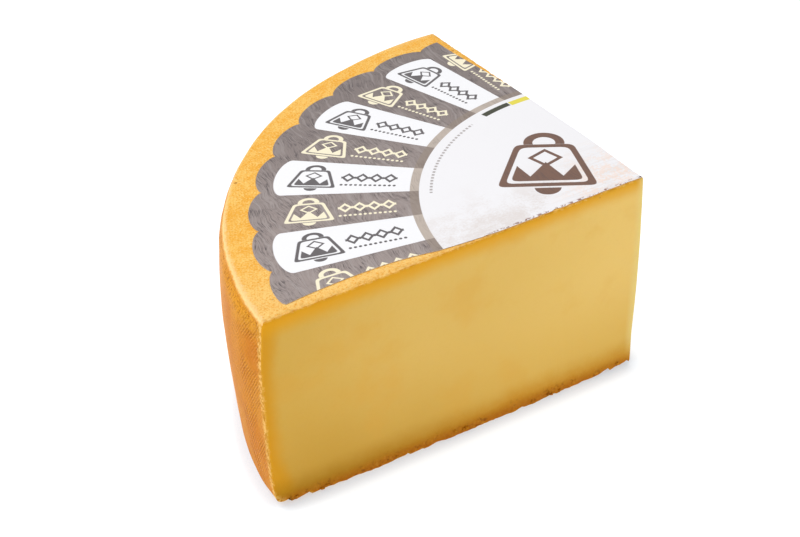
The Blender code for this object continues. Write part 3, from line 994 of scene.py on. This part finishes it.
    fibres = maker.noise(place, 0.6, 3.0, 0.6)
    swell = maker.noise(place, 0.09, 2.0, 0.5)
    roughness = 0.42 + fine * 0.16
    maker.finish({
        "Base Color": colour, "Roughness": roughness, "IOR": 1.45, "Specular IOR Level": 0.45,
        "Normal": maker.bump(fibres * 0.4 + swell * 2.0 + waves * 0.3, 0.0001, 0.5)})
    return material


def makeEdgeMaterial():
    material, maker = newMaterial("paperEdge")
    place = maker.wheelPlace()[3]
    fibres = maker.noise(place, 3.0, 2.0, 0.6)
    colour = maker.mixColour(fibres, paint(236, 232, 226), paint(206, 198, 190))
    maker.finish({"Base Color": colour, "Roughness": 0.8})
    return material


# Crumbs left by the knife, scattered in small groups low on the first cut
crumbShape = {
    "Lowest": 0.0008,           # heights between which they lie
    "Highest": 0.0028,
    "Density": 160000.0,        # for each square metre of that strip
    "Gathering": 0.52,          # the higher, the fewer and tighter the groups
    "Group Size": 0.011,
    "Smallest": 0.0003,
    "Largest": 0.0008,
}
crumbSeed = 7


def makeCrumbs(cheese, paste):
    maker, size = makeShapeTree("cutCrumbs", crumbShape)
    body = maker.node("GeometryNodeObjectInfo", None, {"Object": cheese})
    position = maker.node("GeometryNodeInputPosition").outputs[0]
    height = maker.split(position)[2]
    facing = maker.split(maker.node("GeometryNodeInputNormal").outputs[0])[1]
    groups = maker.noise(position, 1.0 / size["Group Size"], 0.0)
    strip = maker.ease(-facing, 0.6, 0.8) * maker.ease(groups, size["Gathering"], size["Gathering"] + 0.05)
    strip = strip * maker.ease(height, size["Lowest"], size["Lowest"] * 1.2)
    strip = strip * maker.ease(size["Highest"] - height, 0.0, 0.0004)
    points = maker.node("GeometryNodeDistributePointsOnFaces", None, {
        "Mesh": body.outputs["Geometry"], "Density": size["Density"] * strip, "Seed": crumbSeed})

    def draw(low, high, seedShift):
        return maker.value("FunctionNodeRandomValue", "Value", {"data_type": "FLOAT"}, {
            2: low, 3: high, "Seed": crumbSeed + seedShift})

    ball = maker.node("GeometryNodeMeshIcoSphere", None, {"Radius": 1.0, "Subdivisions": 3})
    dented = maker.noise(position, 1.7, 1.0, 0.5) * 1.5 + 0.3
    moved = maker.value("ShaderNodeVectorMath", 0, {"operation": "SCALE"}, {0: position, "Scale": dented})
    rough = maker.node("GeometryNodeSetPosition", None, {"Geometry": ball.outputs[0], "Position": moved})
    spun = maker.vector(draw(0.0, math.tau, 3), draw(0.0, math.tau, 4), draw(0.0, math.tau, 5))
    rotation = maker.value("FunctionNodeEulerToRotation", 0, None, {0: spun})
    radius = draw(size["Smallest"], size["Largest"], 1)
    spread = maker.node("GeometryNodeInstanceOnPoints", None, {
        "Points": points.outputs["Points"], "Instance": rough.outputs[0], "Rotation": rotation,
        "Scale": maker.vector(radius * 1.3, radius, radius * 0.9)})
    real = maker.node("GeometryNodeRealizeInstances", None, {"Geometry": spread.outputs[0]})
    finished = maker.node("GeometryNodeSetMaterial", None, {"Geometry": real.outputs[0], "Material": paste})
    mesh = growMesh("cutCrumbs", maker, finished.outputs[0], crumbShape)
    mesh.shade_smooth()
    crumbs = bpy.data.objects.new("cutCrumbs", mesh)
    showPiece(crumbs)
    print("crumbs:", len(mesh.polygons), "faces")


# Studio: camera, floor, lights
studio = {
    "cameraPlace": (-0.281549, -0.325919, 0.347116),    # from the middle of the wheel, at table level
    "cameraTurn": 29.09,        # to the right of straight ahead, in degrees
    "cameraDip": 35.21,
    "cameraRoll": -1.708,
    "lens": 65.298,
    "sensorWidth": 36.0,
    "floorSize": 8.0,
    "floorColour": (0.46, 0.49, 0.52, 1.0),
    "floorGlow": (0.75, 0.77, 0.79, 1.0),
    # Painted contact shadow: the floor's glow is dimmer close to the cheese, over the reach below
    "contactShadowGlow": (0.44, 0.46, 0.49, 1.0),     # close to the cheese, and how far that reaches
    "contactReach": 0.008,
    "contactOpenness": (0.62, 0.95),    # shares of open sky between which one glow turns into the other
    "worldStrength": 0.55,
}
lights = {
    "softbox": {"place": (-0.75, 0.55, 1.35), "size": 1.1, "watts": 15.0},
    "frontFill": {"place": (0.95, -1.25, 0.65), "size": 1.2, "watts": 5.0},
    "sideFill": {"place": (-1.5, -0.3, 0.7), "size": 1.0, "watts": 1.85},
}


def makeCamera():
    data = bpy.data.cameras.new("studioCamera")
    data.lens = studio["lens"]
    data.sensor_width = studio["sensorWidth"]
    data.sensor_fit = "HORIZONTAL"
    data.clip_start = 0.01
    camera = bpy.data.objects.new("studioCamera", data)
    bpy.context.scene.collection.objects.link(camera)
    aim = (Matrix.Rotation(math.radians(-studio["cameraTurn"]), 4, "Z")
           @ Matrix.Rotation(math.radians(90 - studio["cameraDip"]), 4, "X")
           @ Matrix.Rotation(math.radians(studio["cameraRoll"]), 4, "Z"))
    camera.matrix_world = Matrix.Translation(wheelAxis + Vector(studio["cameraPlace"])) @ aim
    bpy.context.scene.camera = camera
    print("camera:", tuple(round(part, 3) for part in camera.location))


def makeFloor():
    half = studio["floorSize"] / 2
    mesh = bpy.data.meshes.new("studioFloor")
    corners = [(-half, -half, 0), (half, -half, 0), (half, half, 0), (-half, half, 0)]
    mesh.from_pydata(corners, [], [(0, 1, 2, 3)])
    material, maker = newMaterial("studioFloor")
    # Painted contact shadow: where ambient occlusion finds the cheese near, the floor's glow dims
    openness = maker.value("ShaderNodeAmbientOcclusion", "AO", {"samples": 6}, {
        "Distance": studio["contactReach"]})
    clear = maker.ease(openness, *studio["contactOpenness"])
    glow = maker.mixColour(clear, studio["contactShadowGlow"], studio["floorGlow"])
    maker.finish({"Base Color": studio["floorColour"], "Roughness": 0.95, "Specular IOR Level": 0.1,
                  "Emission Color": glow, "Emission Strength": 1.0})
    mesh.materials.append(material)
    floor = bpy.data.objects.new("studioFloor", mesh)
    bpy.context.scene.collection.objects.link(floor)


def makeLights():
    world = bpy.data.worlds.new("studioWorld")
    bpy.context.scene.world = world
    world.use_nodes = True
    maker = NodeMaker(world.node_tree)
    sky = maker.node("ShaderNodeBackground", None, {
        "Color": (1.0, 1.0, 1.0, 1.0), "Strength": studio["worldStrength"]})
    maker.node("ShaderNodeOutputWorld", None, {"Surface": sky.outputs[0]})
    for name, light in lights.items():
        data = bpy.data.lights.new(name, "AREA")
        data.size = light["size"]
        data.energy = light["watts"]
        lamp = bpy.data.objects.new(name, data)
        bpy.context.scene.collection.objects.link(lamp)
        lamp.location = light["place"]
        lamp.rotation_euler = (Vector((0, 0, 0.04)) - lamp.location).to_track_quat("-Z", "Y").to_euler()
    bpy.context.scene.view_settings.view_transform = "Standard"
    print("lights:", ", ".join(lights))


makeCamera()
makeFloor()
makeLights()
rindMaterial = makeRindMaterial()
pasteMaterial = makePasteMaterial()
cheese = makeCheese(rindMaterial, pasteMaterial)
makeLabel(makePrintMaterial(), makeEdgeMaterial())
makeCrumbs(cheese, pasteMaterial)
